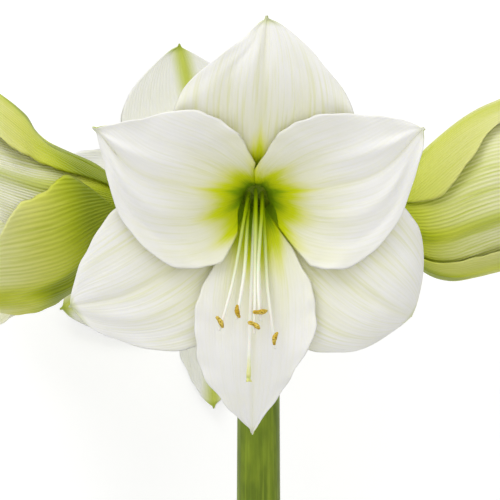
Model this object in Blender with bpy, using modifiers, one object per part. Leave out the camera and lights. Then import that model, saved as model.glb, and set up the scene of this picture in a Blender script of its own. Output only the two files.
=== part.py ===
# A cut amaryllis: one scape that carries an umbel of four flowers, lying on a flat surface.
# It rests on the face of its rear flower and on the cut end of the scape.
#
# Everything is modelled in the plant's own frame and laid down at the end:
# X is the plant's right, Y runs up along the scape, Z is its front, and the umbel is at 0.
# Lengths are in millimetres until a point goes into a mesh.

import math

import bmesh
import bpy
import numpy as np
from mathutils import Matrix
from mathutils import Vector

MM = 0.001
CONTACT_GAP = 0.3           # between pieces that grow from one another

SCAPE_LENGTH = 400
SCAPE_TOP_RADIUS = 10
SCAPE_FOOT_RADIUS = 12
SCAPE_HOLLOW_RADIUS = 7.5
SCAPE_HOLLOW_DEPTH = 30
SCAPE_TOP = -2              # height of the scape's top below the umbel's centre
SCAPE_BEVEL = 1.5           # rounding of its top edge

TEPAL_THICKNESS = 0.9
TUBE_END = -1.9             # height of the tube's end face below the foot of the inner tepals
TUBE_END_RADIUS = 8.4
OVARY_RADIUS = 6.2
OVARY_DEPTH = 24            # the ovary's middle below the tube's end
NECK_DEPTH = 10
PEDICEL_RADIUS = 3.4
PEDICEL_RING = 5.3          # distance of the pedicels' feet from the scape's axis

FILAMENT_RADIUS = 0.75
FILAMENT_RING = 3.6         # distance of the filaments' feet from the flower's axis
ANTHER_LENGTH = 7
ANTHER_RADIUS = 1.5
ANTHER_LEAN = 70            # the anthers lie across their filaments at up to this many degrees
STYLE_RADIUS = 1.1
STIGMA_RADIUS = 2.1

FOLD_START = 0.25           # the shares of a tepal's length in which a fold begins and ends
FOLD_END = 0.14

BRACT_LENGTH = 58
BRACT_WIDTH = 15

# An open flower's funnel: distance from the axis and height above the tube's end.
OPEN_FUNNEL = [(6, 0), (10, 11), (17, 23), (29, 35), (47, 44), (68, 48), (92, 44), (114, 34)]
OPEN_FUNNEL_DEPTH = 48

# The rear flower's tube ends here, and its axis points straight at the surface.
REAR_RIM = (-21, 24, -58)

# The angle between scape and surface at which the rear flower's face and the cut end both touch:
# a cos(angle) + b = c sin(angle), with the heights of the two contacts on either side.
LEVEL_A = -REAR_RIM[2] - SCAPE_FOOT_RADIUS
LEVEL_B = OPEN_FUNNEL_DEPTH + TEPAL_THICKNESS / 2
LEVEL_C = SCAPE_LENGTH + REAR_RIM[1]
LYING_ANGLE = math.asin(LEVEL_B / math.hypot(LEVEL_A, LEVEL_C)) + math.atan2(LEVEL_A, LEVEL_C)

WHITE_PETAL = (0.86, 0.86, 0.80)
GREEN_PETAL = (0.62, 0.66, 0.28)
SCAPE_GREEN = (0.20, 0.27, 0.05)
PEDICEL_GREEN = (0.33, 0.42, 0.08)
FILAMENT_WHITE = (0.84, 0.86, 0.72)
BRACT_BROWN = (0.55, 0.46, 0.28)

# Each flower: where its tube ends, where it faces, its funnel, how the funnel leans ("sag": how far
# the upper side stands forward of the lower) and swells to one side ("centre": how far its middle is
# raised at eighths of a tepal's length), and its tepals. A tepal has its azimuth round the axis
# (90 is up), its length along the funnel, and its half widths on either side of the midrib at
# eighths of that length. "bend" moves the midrib sideways at quarters of the length. "folds" press
# parts of the tepal inwards: across, half width, depth, and between which shares of the length.
FRONT_FLOWER = {
    "rim": (-1.4, 25, 66),
    "facing": (0, -math.sin(math.radians(12)), math.cos(math.radians(12))),
    "funnel": OPEN_FUNNEL,
    "sag": 0,
    "layer": 3,
    "colour": WHITE_PETAL,
    "outer": [
        {"azimuth": 87, "length": 107, "reach": (29, 147),
         "left": (4, 7, 13, 22, 33, 42, 41, 19.5, 5), "right": (4, 7, 13, 22, 33, 44, 46, 29, 13)},
        {"azimuth": 331, "length": 107, "reach": (269, 389), "bend": (0, -1, -4, -8, -9), "curl": 9,
         "left": (4, 8, 14, 24, 33, 42, 46, 43, 30), "right": (4, 8, 14, 24, 34, 41, 41, 35, 22)},
        {"azimuth": 207, "length": 113, "reach": (147, 269), "bend": (0, 1, 5, 6, 0),
         "left": (4, 8, 14, 24, 36, 42, 40.5, 31.5, 22), "right": (4, 8, 14, 24, 34, 42, 36.5, 24.5, 8)},
    ],
    "inner": [
        {"azimuth": 28, "length": 101, "reach": (-45, 90), "bend": (0, -1, -5, -8, 0),
         "left": (6.6, 12.4, 20.8, 27.5, 35, 39.5, 35.5, 22, 10), "right": (4, 9, 21, 31, 40.5, 42, 33, 18, 9)},
        {"azimuth": 269, "length": 120, "reach": (231, 314),
         "left": (4, 9, 16, 22.5, 29, 29.5, 20, 10.5, 3), "right": (4, 9, 16, 20, 27, 28.5, 25.5, 15.5, 3)},
        {"azimuth": 151, "length": 99, "reach": (90, 230), "bend": (0, 1, 5, 8, 0),
         "left": (4, 9, 23, 36, 42, 40.5, 28.5, 13, 2), "right": (6.6, 12.4, 20.6, 27.5, 36, 41.5, 37.5, 20, 5)},
    ],
    "anthers": [(-16.2, -47.2, 54), (-0.7, -47.3, 59), (1.6, -42, 57), (8.4, -54.2, 57),
                (2.2, -43.5, 51), (-8.6, -42, 56)],
    "stigma": (-3.4, -73.5, 54),
}
HALF_OPEN = {"left": (4, 8, 15, 24, 31, 33, 29, 17, 2), "right": (4, 8, 15, 24, 31, 33, 29, 17, 2)}
HALF_OPEN_INNER = {"left": (4, 8, 14, 22, 27, 28, 23, 13, 2), "right": (4, 8, 14, 22, 27, 28, 23, 13, 2)}
LEFT_FLOWER = {
    "rim": (-60, 21, 0),
    "facing": (-1, -0.02, 0.05),
    "funnel": [(6, 0), (12, 9), (22, 20), (33, 33), (42, 47), (50, 60), (57, 73), (64, 85), (74, 96)],
    "sag": 9,
    "centre": (0, 0, 0, 0, 0, 1.5, 3.5, 4, 4),
    "layer": 2.8,
    "colour": GREEN_PETAL,
    "outer": [
        {"azimuth": 80, "length": 114, "reach": (29.5, 140),
         "left": (4, 10, 19, 28, 33, 34, 29, 17, 2), "right": (4, 10, 19, 29, 34.5, 40.5, 40, 24, 4),
         "folds": [(0.1, 0.55, 6, 0.17, 0.5), (0, 0.6, -3, 0.35, 0.9)]},
        {"azimuth": -40, "length": 114, "reach": (-100, 29),
         "left": (4, 11, 26, 38, 35, 35, 25, 13, 2), "right": (4, 9, 17, 28, 36, 36, 30, 16, 2)},
        {"azimuth": 200, "length": 114, **HALF_OPEN},
    ],
    "inner": [
        {"azimuth": 15, "length": 110, **HALF_OPEN_INNER},
        {"azimuth": 260, "length": 110, **HALF_OPEN_INNER},
        {"azimuth": 150, "length": 110, **HALF_OPEN_INNER, "right": (4, 8, 12, 16, 20, 24, 22, 13, 2)},
    ],
}
RIGHT_FLOWER = {
    "rim": (58, 20, 0),
    "facing": (0.98, 0.19, 0.03),
    "funnel": [(6, 0), (12, 7), (20, 14.5), (26.5, 22), (31.5, 31), (35, 41.5), (37, 53), (38.5, 66),
               (43, 80), (50, 92), (58, 104)],
    "sag": 4,
    "centre": (0, -5.5, -8, -6.6, -3, -0.5, 0, 0, 0),
    "layer": 2.8,
    "colour": GREEN_PETAL,
    "outer": [
        {"azimuth": 110, "length": 112, "reach": (60, 172),
         "left": (4, 12, 24, 33, 29, 19, 17, 12, 2), "right": (4, 8, 14, 22, 27, 28, 23, 13, 2)},
        {"azimuth": 250, "length": 112, "reach": (198, 300),
         "left": (4, 9, 19, 26, 26, 25, 22, 13, 2), "right": (4, 5, 9, 12, 13, 14, 13, 9, 2)},
        {"azimuth": 0, "length": 112, **HALF_OPEN_INNER},
    ],
    "inner": [
        {"azimuth": 203, "length": 110, "reach": (122, 263),
         "left": (4, 12, 22, 30, 35.5, 37, 31, 15, 2), "right": (4, 13, 23, 35, 43.5, 46.5, 43.5, 30, 2)},
        {"azimuth": 302, "length": 110, "reach": (264, 362), **HALF_OPEN},
        {"azimuth": 57, "length": 110, **HALF_OPEN},
    ],
}
WIDE_OPEN = {"left": (4, 8, 15, 25, 35, 38, 35, 20, 3), "right": (4, 8, 15, 25, 35, 38, 35, 20, 3)}
WIDE_OPEN_INNER = {"left": (4, 8, 15, 25, 33, 34, 29, 16, 3), "right": (4, 8, 15, 25, 33, 34, 29, 16, 3)}
REAR_FLOWER = {
    "rim": REAR_RIM,
    "facing": (0, -math.sin(LYING_ANGLE), -math.cos(LYING_ANGLE)),
    "funnel": OPEN_FUNNEL,
    "sag": 0,
    "layer": 3,
    "colour": WHITE_PETAL,
    "outer": [
        {"azimuth": 78, "length": 114, **WIDE_OPEN, "right": (4, 8, 16, 28, 38, 42, 43, 36, 14)},
        {"azimuth": 330, "length": 110, **WIDE_OPEN, "right": (4, 8, 15, 25, 35, 40, 38, 30, 14)},
        {"azimuth": 205, "length": 106, **WIDE_OPEN},
    ],
    "inner": [
        {"azimuth": 14, "length": 112, "reach": (-42, 70), **WIDE_OPEN_INNER,
         "left": (4, 8, 15, 25, 31, 30, 26, 23, 9)},
        {"azimuth": 271, "length": 114, "reach": (211, 317), **WIDE_OPEN_INNER,
         "left": (4, 8, 15, 25, 28, 24, 19, 14, 6)},
        {"azimuth": 150, "length": 104, **WIDE_OPEN_INNER},
    ],
    "anthers": [(-14, -22, 41), (-3, -24, 42.5), (5, -22, 41.5), (14, -21, 41), (9, -29, 42.5),
                (-9, -29, 42)],
    "stigma": (0.5, -40, 44),
}
FLOWERS = {"front": FRONT_FLOWER, "right": RIGHT_FLOWER, "rear": REAR_FLOWER, "left": LEFT_FLOWER}

# Where the anthers and the stigma stand in a flower that has no places of its own:
# right of, above and in front of the tube's end.
ANTHERS = [(-11, -16, 52), (-4, -9, 56), (5, -9, 55), (12, -15, 51), (6, -22, 57), (-5, -23, 54)]
STIGMA = (1, -28, 68)


def smooth_through(points, places):
    """Catmull-Rom curve through the points, read at places from 0 to 1."""
    points = np.asarray(points, float)
    last = len(points) - 1
    steps = np.clip(places, 0, 1) * last
    index = np.clip(np.floor(steps).astype(int), 0, last - 1)
    part = (steps - index).reshape((-1,) + (1,) * (points.ndim - 1))
    extended = np.concatenate([[2 * points[0] - points[1]], points, [2 * points[-1] - points[-2]]])
    before, start, end, after = (extended[index + shift] for shift in range(4))
    return 0.5 * (2 * start + (end - before) * part
                  + (2 * before - 5 * start + 4 * end - after) * part ** 2
                  + (3 * start - before - 3 * end + after) * part ** 3)


def along(points, distances):
    """Points of the smooth curve at the given distances along it, and its direction there."""
    curve = smooth_through(points, np.linspace(0, 1, 400))
    steps = np.linalg.norm(np.diff(curve, axis=0), axis=1)
    travelled = np.concatenate([[0], np.cumsum(steps)])

    def read(at):
        return np.stack([np.interp(at, travelled, column) for column in curve.T], -1)

    ahead = read(np.minimum(distances + 0.6, travelled[-1])) - read(np.maximum(distances - 0.6, 0))
    return read(distances), ahead / np.linalg.norm(ahead, axis=1, keepdims=True)


def flower_axes(flower):
    """The flower's right, its up and the way it faces, as unit vectors."""
    facing = np.array(flower["facing"], float)
    facing /= np.linalg.norm(facing)
    up = np.array([0, 1, 0]) - facing[1] * facing
    up /= np.linalg.norm(up)
    return np.cross(up, facing), up, facing


def in_flower(flower, places):
    """Turns places given as right, up and forward of the tube's end into plant coordinates."""
    return np.array(flower["rim"], float) + np.asarray(places, float) @ np.array(flower_axes(flower))


def soft_step(value, start, end):
    """0 before the start, 1 after the end, and a smooth rise between them."""
    part = np.clip((value - start) / (end - start), 0, 1)
    return part * part * (3 - 2 * part)


def pressed_inwards(tepal, side, lengthwise):
    """How far each point of a tepal lies inside the funnel because of its folds."""
    depth = 0 * side * lengthwise[:, None]
    for middle, width, inwards, start, end in tepal.get("folds", ()):
        window = soft_step(lengthwise, start, start + FOLD_START)
        window = window * (1 - soft_step(lengthwise, end - FOLD_END, end))
        depth = depth + inwards * np.exp(-((side - middle) / width) ** 2) * window[:, None]
    return depth


def tepal_surface(flower, tepal, layer, across, lengthwise):
    """Points of a tepal, a patch of the flower's funnel between two azimuths.

    across runs from -1 to 1 over the width, lengthwise from 0 at the tube to 1 at the tip.
    """
    distance = lengthwise * tepal["length"]
    place, slope = along(flower["funnel"], distance)
    radius, height = place.T
    taper = np.sqrt(np.clip(1 - lengthwise ** 12, 0, 1))
    left = np.maximum(smooth_through(tepal["left"], lengthwise), 0) * taper
    right = np.maximum(smooth_through(tepal["right"], lengthwise), 0) * taper
    midrib = math.radians(tepal["azimuth"]) + smooth_through(tepal.get("bend", (0, 0)), lengthwise) / radius
    low, high = np.radians(tepal.get("reach", (tepal["azimuth"] - 60, tepal["azimuth"] + 60)))
    low = np.maximum(midrib - right / radius, low + CONTACT_GAP / radius)
    high = np.minimum(midrib + left / radius, high - CONTACT_GAP / radius)
    side = across[None, :]
    to_low, to_high = (midrib - low)[:, None], (high - midrib)[:, None]
    azimuth = midrib[:, None] + side * np.where(side < 0, to_low, to_high)
    lean = flower["sag"] * np.clip((distance - 8) / 45, 0, 1)[:, None] * np.sin(azimuth)
    depth = -layer * (0.55 + 0.45 * np.clip(distance / 60, 0, 1))
    depth = depth - tepal.get("curl", 0) * np.clip((lengthwise - 0.8) / 0.2, 0, 1) ** 2
    depth = depth[:, None] + pressed_inwards(tepal, side, lengthwise)
    radius = radius[:, None] - slope[:, 1:] * depth
    height = height[:, None] + slope[:, :1] * depth + lean
    centre = smooth_through(flower.get("centre", (0, 0)), lengthwise)[:, None]
    places = np.stack([radius * np.cos(azimuth), radius * np.sin(azimuth) + centre, height], -1)
    return in_flower(flower, places)


def add_material(obj, colour, roughness):
    """Gives the object its own Principled material."""
    material = bpy.data.materials.new(obj.name)
    material.use_nodes = True
    shader = material.node_tree.nodes["Principled BSDF"]
    shader.inputs["Base Color"].default_value = (*colour, 1)
    shader.inputs["Roughness"].default_value = roughness
    shader.inputs["Metallic"].default_value = 0
    obj.data.materials.append(material)


def add_object(name, data, collection, plant):
    """Links a new object under the plant's empty."""
    obj = bpy.data.objects.new(name, data)
    collection.objects.link(obj)
    obj.parent = plant
    return obj


def sheet_mesh(name, surface, columns, rows):
    """A grid whose vertices the surface function places; its tip row closes to one point."""
    sheet = bmesh.new()
    bmesh.ops.create_grid(sheet, x_segments=columns, y_segments=rows, size=1)
    flat = np.array([vertex.co[:2] for vertex in sheet.verts])
    across, column = np.unique(flat[:, 0].round(5), return_inverse=True)
    lengthwise, row = np.unique(flat[:, 1].round(5), return_inverse=True)
    points = surface(across, (lengthwise + 1) / 2) * MM
    for vertex, i, j in zip(sheet.verts, row, column):
        vertex.co = points[i, j]
    bmesh.ops.remove_doubles(sheet, verts=sheet.verts, dist=0.00005)
    mesh = bpy.data.meshes.new(name)
    sheet.to_mesh(mesh)
    sheet.free()
    return mesh


def add_sheet(name, surface, columns, rows, thickness, collection, plant):
    """A thin curved leaf-like piece: the sheet with Solidify."""
    obj = add_object(name, sheet_mesh(name, surface, columns, rows), collection, plant)
    wall = obj.modifiers.new("wall", "SOLIDIFY")
    wall.thickness = thickness * MM
    wall.offset = 0
    obj.data.shade_smooth()
    return obj


def add_tepals(name, flower, collection, plant):
    """The three outer and three inner tepals; the inner ones lie in front of the outer ones."""
    columns, rows = (8, 11) if flower is FRONT_FLOWER else (8, 9)
    for whorl, layer in (("outer", flower["layer"]), ("inner", 0)):
        for number, tepal in enumerate(flower[whorl], start=1):
            def surface(across, lengthwise, tepal=tepal, layer=layer):
                return tepal_surface(flower, tepal, layer, across, lengthwise)

            obj = add_sheet(f"{name}_{whorl}_tepal_{number}", surface, columns, rows,
                            TEPAL_THICKNESS, collection, plant)
            add_material(obj, flower["colour"], 0.45)


def add_tube(name, points, radii, sides, steps, collection, plant):
    """A round piece that swells and narrows along a smooth line, with filled ends."""
    places = np.linspace(0, 1, steps)
    curve = bpy.data.curves.new(name, "CURVE")
    curve.dimensions = "3D"
    curve.bevel_depth = 1
    curve.bevel_resolution = sides // 2 - 2
    curve.use_fill_caps = True
    spline = curve.splines.new("POLY")
    spline.points.add(steps - 1)
    line = smooth_through(points, places) * MM
    thickness = smooth_through(radii, places) * MM
    for point, place, radius in zip(spline.points, line, thickness):
        point.co = (*place, 1)
        point.radius = radius
    return add_object(name, curve, collection, plant)


def as_mesh(obj):
    """Replaces a curve object by one closed mesh object of the same name."""
    name = obj.name
    graph = bpy.context.evaluated_depsgraph_get()
    mesh = bpy.data.meshes.new_from_object(obj.evaluated_get(graph))
    shape = bmesh.new()
    shape.from_mesh(mesh)
    bmesh.ops.remove_doubles(shape, verts=shape.verts, dist=0.00001)
    shape.to_mesh(mesh)
    shape.free()
    collection, plant = obj.users_collection[0], obj.parent
    matrix = obj.matrix_world.copy()
    curve = obj.data
    bpy.data.objects.remove(obj)
    bpy.data.curves.remove(curve)
    mesh.name = name
    solid = add_object(name, mesh, collection, plant)
    solid.matrix_world = matrix
    return solid


def add_pedicel(name, flower, foot, collection, plant):
    """The flower's stalk, ovary and tube, one piece from the scape's top to the tepals."""
    start = np.array(foot)
    ovary = in_flower(flower, (0, 0, -OVARY_DEPTH))
    neck = in_flower(flower, (0, 0, -NECK_DEPTH))
    end = in_flower(flower, (0, 0, TUBE_END))
    outward = start * (1, 0, 1) / PEDICEL_RING
    rise = start + np.array([0, 5, 0])
    turn = start + outward * 5 + np.array([0, 13, 0])
    middle = (turn + ovary) / 2 + np.array([0, 4, 0])
    line = [start, rise, turn, middle, ovary, neck, end]
    radii = [PEDICEL_RADIUS, PEDICEL_RADIUS, PEDICEL_RADIUS, PEDICEL_RADIUS * 1.1,
             OVARY_RADIUS, OVARY_RADIUS * 0.8, TUBE_END_RADIUS]
    obj = add_tube(f"{name}_pedicel", line, radii, 10, 14, collection, plant)
    add_material(obj, PEDICEL_GREEN, 0.4)


def join_solids(obj, other):
    """Makes the two closed solids one, and removes the second object."""
    union = obj.modifiers.new("join", "BOOLEAN")
    union.operation = "UNION"
    union.object = other
    bpy.context.view_layer.update()
    graph = bpy.context.evaluated_depsgraph_get()
    joined = bpy.data.meshes.new_from_object(obj.evaluated_get(graph))
    obj.modifiers.clear()
    obj.data = joined
    bpy.data.objects.remove(other)


def add_stamen(name, flower, azimuth, anther, collection, plant):
    """A filament that droops, turns up at its end and carries an anther across it."""
    out = np.array([math.cos(azimuth), math.sin(azimuth), 0]) * FILAMENT_RING
    foot = out + (0, 0, TUBE_END + CONTACT_GAP * 2)
    end = np.array(anther)
    rising = out * (0.7, 0.8, 0) + end * (0.2, 0.16, 0.38)
    line = [foot, rising, end * (0.62, 0.62, 0.78), end * (1, 1.07, 0.97), end]
    radii = np.array([1.2, 1, 1, 0.8, 0.7]) * FILAMENT_RADIUS
    stamen = as_mesh(add_tube(name, in_flower(flower, line), radii, 6, 8, collection, plant))
    right, up, facing = flower_axes(flower)
    lean = math.radians(ANTHER_LEAN * math.sin(2.3 * azimuth + 1))
    along_anther = Vector(right * math.cos(lean) + up * math.sin(lean))
    place = Matrix.Translation(in_flower(flower, anther) * MM)
    turn = along_anther.to_track_quat("Z", "Y").to_matrix().to_4x4()
    size = Matrix.Diagonal((ANTHER_RADIUS * MM, ANTHER_RADIUS * MM, ANTHER_LENGTH / 2 * MM, 1))
    sac = bmesh.new()
    bmesh.ops.create_uvsphere(sac, u_segments=6, v_segments=6, radius=1, matrix=place @ turn @ size)
    mesh = bpy.data.meshes.new(f"{name}_anther")
    sac.to_mesh(mesh)
    sac.free()
    join_solids(stamen, add_object(f"{name}_anther", mesh, collection, plant))
    stamen.data.shade_smooth()
    add_material(stamen, FILAMENT_WHITE, 0.5)


def add_style(name, flower, collection, plant):
    """The style, which droops and turns up like the filaments, and widens into the stigma."""
    foot = np.array([0, 0, TUBE_END + CONTACT_GAP * 2])
    end = np.array(flower.get("stigma", STIGMA))
    line = [foot, end * (0.3, 0.14, 0.42), end * (0.7, 0.55, 0.86), end]
    radii = [STYLE_RADIUS * 1.2, STYLE_RADIUS, STYLE_RADIUS, STIGMA_RADIUS]
    obj = add_tube(f"{name}_style", in_flower(flower, line), radii, 6, 8, collection, plant)
    add_material(obj, FILAMENT_WHITE, 0.4)


def add_flower(name, flower, foot, collection, plant):
    """One flower of the umbel: its stalk, its tepals, six stamens and the style."""
    add_pedicel(name, flower, foot, collection, plant)
    add_tepals(name, flower, collection, plant)
    for number, anther in enumerate(flower.get("anthers", ANTHERS)):
        azimuth = math.radians(150 - 60 * number)
        add_stamen(f"{name}_stamen_{number + 1}", flower, azimuth, anther, collection, plant)
    add_style(name, flower, collection, plant)


def add_scape(collection, plant):
    """The leafless stalk: a turned profile, hollow where it was cut."""
    foot = -SCAPE_LENGTH
    shoulder = SCAPE_TOP - SCAPE_BEVEL
    profile = [(0, SCAPE_TOP), (SCAPE_TOP_RADIUS - SCAPE_BEVEL, SCAPE_TOP)]
    for part in (0, 0.25, 0.5, 0.75, 1):
        radius = SCAPE_TOP_RADIUS + (SCAPE_FOOT_RADIUS - SCAPE_TOP_RADIUS) * part
        profile.append((radius, shoulder + (foot - shoulder) * part))
    ceiling = foot + SCAPE_HOLLOW_DEPTH
    profile += [(SCAPE_HOLLOW_RADIUS, foot), (SCAPE_HOLLOW_RADIUS, ceiling),
                (SCAPE_HOLLOW_RADIUS * 0.6, ceiling + 4), (0, ceiling + 5)]
    mesh = bpy.data.meshes.new("scape")
    points = [(x * MM, y * MM, 0) for x, y in profile]
    edges = [(index, index + 1) for index in range(len(points) - 1)]
    mesh.from_pydata(points, edges, [])
    obj = add_object("scape", mesh, collection, plant)
    turn = obj.modifiers.new("turn", "SCREW")
    turn.axis = "Y"
    turn.steps = 20
    turn.render_steps = 20
    turn.use_merge_vertices = True
    turn.merge_threshold = 0.00005
    add_material(obj, SCAPE_GREEN, 0.4)


def bract_surface(side, across, lengthwise):
    """A withered bract: it stands off the scape's top and hangs down along it."""
    line = np.array([(0.7, 0), (4, -0.12), (8, -0.4), (6, -0.72), (9, -1)])
    line = line * (1, BRACT_LENGTH) + (SCAPE_TOP_RADIUS, SCAPE_TOP - 2)
    radius, height = smooth_through(line, lengthwise).T
    half = smooth_through((0.42, 0.5, 0.46, 0.3, 0), lengthwise) * BRACT_WIDTH
    azimuth = side + across[None, :] * (half / radius)[:, None] + 0.25 * (lengthwise ** 2)[:, None]
    return np.stack([radius[:, None] * np.cos(azimuth), height[:, None] + 0 * azimuth,
                     radius[:, None] * np.sin(azimuth)], -1)


def add_bracts(collection, plant):
    """The two papery bracts that wrapped the bud."""
    for name, side in (("left_bract", math.radians(230)), ("right_bract", math.radians(-50))):
        def surface(across, lengthwise, side=side):
            return bract_surface(side, across, lengthwise)

        obj = add_sheet(name, surface, 6, 9, 0.5, collection, plant)
        add_material(obj, BRACT_BROWN, 0.7)


def lay_down(plant, collection):
    """Turns the plant onto its rear flower and centres its box over the origin."""
    plant.rotation_euler = (LYING_ANGLE, 0, 0)
    bpy.context.view_layer.update()
    graph = bpy.context.evaluated_depsgraph_get()
    corners = []
    for obj in collection.objects:
        if obj.type == "EMPTY":
            continue
        solid = obj.evaluated_get(graph)
        mesh = solid.to_mesh()
        points = np.empty(len(mesh.vertices) * 3)
        mesh.vertices.foreach_get("co", points)
        points = points.reshape(-1, 3) @ np.array(solid.matrix_world)[:3, :3].T
        corners += [points.min(axis=0), points.max(axis=0)]
        solid.to_mesh_clear()
    low, high = np.min(corners, axis=0), np.max(corners, axis=0)
    plant.location = (-(low[0] + high[0]) / 2, -(low[1] + high[1]) / 2, -low[2])


def build():
    """Clears the scene and models the plant."""
    for obj in list(bpy.data.objects):
        bpy.data.objects.remove(obj)
    collection = bpy.data.collections.new("amaryllis")
    bpy.context.scene.collection.children.link(collection)
    plant = bpy.data.objects.new("plant", None)
    collection.objects.link(plant)
    add_scape(collection, plant)
    add_bracts(collection, plant)
    feet = {"front": (0, 1), "right": (1, 0), "rear": (0, -1), "left": (-1, 0)}
    for name, flower in FLOWERS.items():
        x, z = feet[name]
        foot = (x * PEDICEL_RING, SCAPE_TOP + CONTACT_GAP * 2, z * PEDICEL_RING)
        add_flower(name, flower, foot, collection, plant)
    lay_down(plant, collection)


build()
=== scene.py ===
import math

import bmesh
import bpy
import numpy as np
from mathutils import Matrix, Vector


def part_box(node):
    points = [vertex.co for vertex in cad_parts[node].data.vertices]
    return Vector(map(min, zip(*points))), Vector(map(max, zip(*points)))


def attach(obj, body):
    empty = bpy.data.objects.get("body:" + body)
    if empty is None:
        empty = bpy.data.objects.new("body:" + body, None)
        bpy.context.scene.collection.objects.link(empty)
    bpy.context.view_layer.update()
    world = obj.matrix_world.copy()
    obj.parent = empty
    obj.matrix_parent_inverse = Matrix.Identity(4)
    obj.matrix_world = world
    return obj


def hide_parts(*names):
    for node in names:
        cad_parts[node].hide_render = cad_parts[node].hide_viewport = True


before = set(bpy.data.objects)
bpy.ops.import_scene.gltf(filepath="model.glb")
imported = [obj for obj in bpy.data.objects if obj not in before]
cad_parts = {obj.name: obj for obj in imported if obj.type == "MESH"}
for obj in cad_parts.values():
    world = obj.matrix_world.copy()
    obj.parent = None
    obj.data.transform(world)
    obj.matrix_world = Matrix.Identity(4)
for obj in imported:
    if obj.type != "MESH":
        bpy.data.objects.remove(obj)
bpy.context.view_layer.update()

# A cut amaryllis lying on its rear flower and the cut end of its scape.
# Shapes are in millimetres in the plant's own frame (x right, y up the scape, z its front), until they
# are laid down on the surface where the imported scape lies.
plant = {
    "scapeLength": 400,
    "scapeTop": -2,  # below the umbel's centre
    "scapeTopRadius": 10, "scapeFootRadius": 12,
    "hollowRadius": 7.5, "hollowDepth": 30,
    "rearRim": (-21, 24, -58),  # where the rear flower's tube ends
    "faceDepth": 48.45,  # from there to the face it lies on
    "pedicelRing": 5.3,  # the pedicels stand this far from the scape's axis
    "tubeEnd": -1.9, "tubeFloor": -4,  # along the flower's axis, from its rim
}

# the angle at which the rear flower's face and the cut end both touch: a cos + b = c sin
levelA = -plant["rearRim"][2] - plant["scapeFootRadius"]
levelC = plant["scapeLength"] + plant["rearRim"][1]
lyingAngle = math.asin(plant["faceDepth"] / math.hypot(levelA, levelC)) + math.atan2(levelA, levelC)
tilt = np.array([[1, 0, 0],
                 [0, math.cos(lyingAngle), -math.sin(lyingAngle)],
                 [0, math.sin(lyingAngle), math.cos(lyingAngle)]])

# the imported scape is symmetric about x, and its foot's rim is its nearest and lowest point
scapeLow, scapeHigh = (np.array(corner) * 1000 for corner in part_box("scape"))
footReach = tilt @ np.array([0, -plant["scapeLength"], 0])
lyingShift = np.array([(scapeLow[0] + scapeHigh[0]) / 2,
                       scapeLow[1] - footReach[1] + plant["scapeFootRadius"] * math.sin(lyingAngle),
                       scapeLow[2] - footReach[2] + plant["scapeFootRadius"] * math.cos(lyingAngle)])


def laidDown(points):
    # metres in the frame's own axes: the points turned by the lying angle, plus the shift, / 1000
    return (np.asarray(points, float) @ tilt.T + lyingShift) * 0.001


def smoothThrough(points, places):
    # Catmull-Rom: on each span a cubic through its two ends with the slope of their neighbours
    points = np.asarray(points, float)
    last = len(points) - 1
    steps = np.clip(places, 0, 1) * last
    index = np.clip(np.floor(steps).astype(int), 0, last - 1)
    part = (steps - index).reshape(np.shape(places) + (1,) * (points.ndim - 1))
    longer = np.concatenate([[2 * points[0] - points[1]], points, [2 * points[-1] - points[-2]]])
    before, start, end, after = (longer[index + k] for k in range(4))
    return 0.5 * (2 * start + (end - before) * part
                  + (2 * before - 5 * start + 4 * end - after) * part ** 2
                  + (3 * start - before - 3 * end + after) * part ** 3)


def unitRows(vectors):
    # each row divided by its length
    return vectors / np.maximum(np.linalg.norm(vectors, axis=-1, keepdims=True), 1e-9)


def alongLine(points, distances):
    # the smooth curve by the distance travelled on it, and its direction over a step to each side
    step = 0.6
    curve = smoothThrough(points, np.linspace(0, 1, 400))
    travelled = np.concatenate([[0], np.cumsum(np.linalg.norm(np.diff(curve, axis=0), axis=1))])
    read = lambda at: np.stack([np.interp(at, travelled, column) for column in curve.T], -1)
    near = np.clip(distances, step, travelled[-1] - step)
    slope = unitRows(read(near + step) - read(near - step))
    # past its two ends the curve goes straight on
    over = np.minimum(distances, 0) + np.maximum(distances - travelled[-1], 0)
    return read(distances) + over[:, None] * slope, slope


def joined(*parts):
    # arrays put side by side along a last axis, each spread to the shape of them all
    return np.stack(np.broadcast_arrays(*parts), -1)


def ramp(value, low, high):
    # 0 below low, 1 above high, straight between
    return np.clip((value - low) / (high - low), 0, 1)


def softStep(value, low, high):
    # 3x^2 - 2x^3 of the ramp
    x = ramp(value, low, high)
    return x * x * (3 - 2 * x)


def hill(value, middle, width):
    # exp(-((value - middle) / width)^2)
    return np.exp(-((value - middle) / width) ** 2)


# A flower stands on the "rim" of its tube and looks along "facing". Its "funnel" is a profile of
# (radius, height) turned round that axis. "sag" leans its upper side forward, "centre" moves its
# middle line up on the way out, and its outer tepals lie a "layer" behind the inner ones.
petalShape = {
    "thickness": 0.75, "swell": 0.2,
    "groove": 0.35, "grooveWidth": 1.6,  # along the midrib
    "root": 3,  # how far the tepals reach down into the tube
    "nibWidth": 0.8, "bluntness": 12,  # the outline closes with this power of the length
    "edge": (0.55, 5.3, 0.35, 11.7),  # waves of the outline: height and number, twice
    "crinkle": 0.3,  # small waves of the margin
    "gap": 0.15,  # left free where a margin ends at its reach
    "layerAtTube": 0.55, "layerFull": 60,  # the layer's share at the tube, and where it is whole
    "sagSpan": (8, 53), "curlFrom": 0.8,
    "rowCrowding": 1.4,  # rows crowd towards the tip with this power
    "veinSpread": 1.15, "veinNarrowing": 0.97,  # how far the veins draw together
}
openFlower = {
    "funnel": [(6, 0), (10, 11), (17, 23), (29, 35), (47, 44), (68, 48), (92, 44), (114, 34)],
    "sag": 0, "layer": 3,
}
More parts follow.
